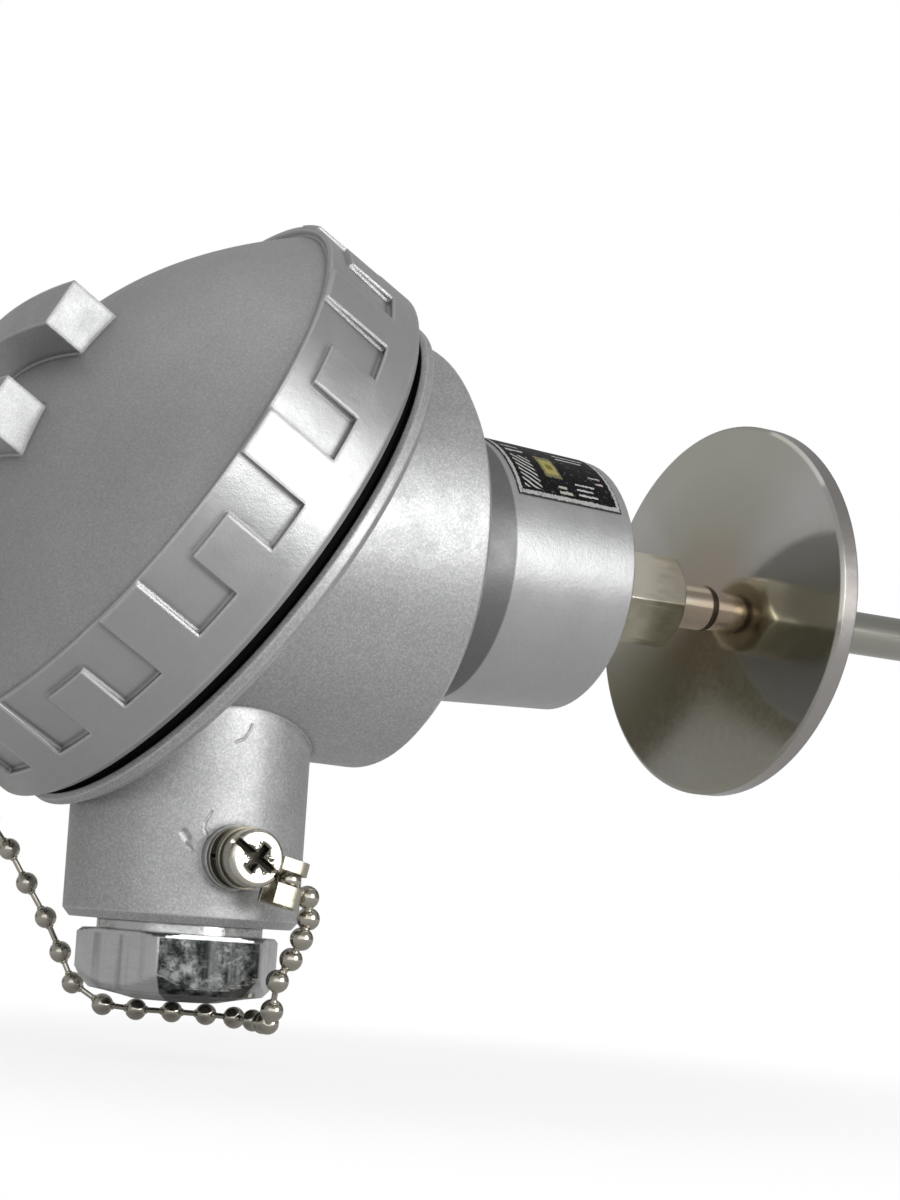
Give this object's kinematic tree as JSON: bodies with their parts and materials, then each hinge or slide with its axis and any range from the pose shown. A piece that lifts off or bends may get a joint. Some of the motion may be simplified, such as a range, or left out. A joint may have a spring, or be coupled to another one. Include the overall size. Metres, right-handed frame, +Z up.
{
  "type": "resistance temperature probe with connection head",
  "caption": "Temperature probe: cast connection head with inclined screw cap, cable gland, bead chain, hex fitting, round process flange and thin closed stem.",
  "frame": {"origin": "centre of the process flange's face", "axes": "+X along the stem towards its tip, +Z up, cable entry towards -Z"},
  "size_m": [0.2152, 0.0754, 0.0967],
  "materials": {
    "cast_housing": "fine silver hammer paint over cast aluminium",
    "cast_cap": "fine silver hammer paint, lug ends bare",
    "polished_stainless": "turned, polished",
    "stainless": "satin",
    "plated_nut": "nickel plated",
    "nickel": "bright nickel",
    "zinc_plate": "yellowish zinc plate",
    "brass": "bare",
    "black_rubber": "matt",
    "white_ceramic": "matt",
    "element_ceramic": "glazed",
    "potting": "cement",
    "label": "printed film"
  },
  "bodies": {
    "head": {"housing": "cast_housing", "neck_label": "label", "hex_fitting": "stainless", "stem_tube": "stainless", "tip_plug": "stainless", "process_flange": "polished_stainless", "flange_weld": "stainless", "sensing_element": "element_ceramic", "lead_wires": "nickel", "insulator_core": "white_ceramic", "tip_potting": "potting", "gland_grommet": "black_rubber", "chain_screw": "zinc_plate", "flat_washers": "zinc_plate", "spring_washer": "zinc_plate", "chain_clip": "zinc_plate", "bead_chain": "nickel", "terminal_block": "white_ceramic", "terminal_clamps": "brass", "terminal_screws": "zinc_plate", "block_screws": "zinc_plate", "block_springs": "stainless"},
    "gasket": {"cap_gasket": "black_rubber"},
    "cap": {"screw_cap": "cast_cap", "cap_eye": "nickel"},
    "washer": {"gland_washer": "plated_nut"},
    "nut": {"gland_nut": "plated_nut"}
  },
  "joints": [
    {"name": "cap_lift", "type": "slide", "parent": "head", "child": "gasket", "axis": [-0.866, 0, 0.5], "range_m": [0, 0.009]},
    {"name": "cap_turn", "type": "hinge", "parent": "gasket", "child": "cap", "pos_m": [-0.0814, 0, -0.0017], "axis": [-0.866, 0, 0.5], "range_deg": [0, 1620]},
    {"name": "nut_lift", "type": "slide", "parent": "head", "child": "washer", "axis": [0, 0, -1], "range_m": [0, 0.0009]},
    {"name": "nut_turn", "type": "hinge", "parent": "washer", "child": "nut", "pos_m": [-0.0804, 0, -0.0473], "axis": [0, 0, -1], "range_deg": [0, 216]}
  ],
  "couplings": [
    {"joint": "cap_turn", "follows": "cap_lift", "rad_per_m": 3141.6},
    {"joint": "nut_turn", "follows": "nut_lift", "rad_per_m": 4188.8}
  ]
}
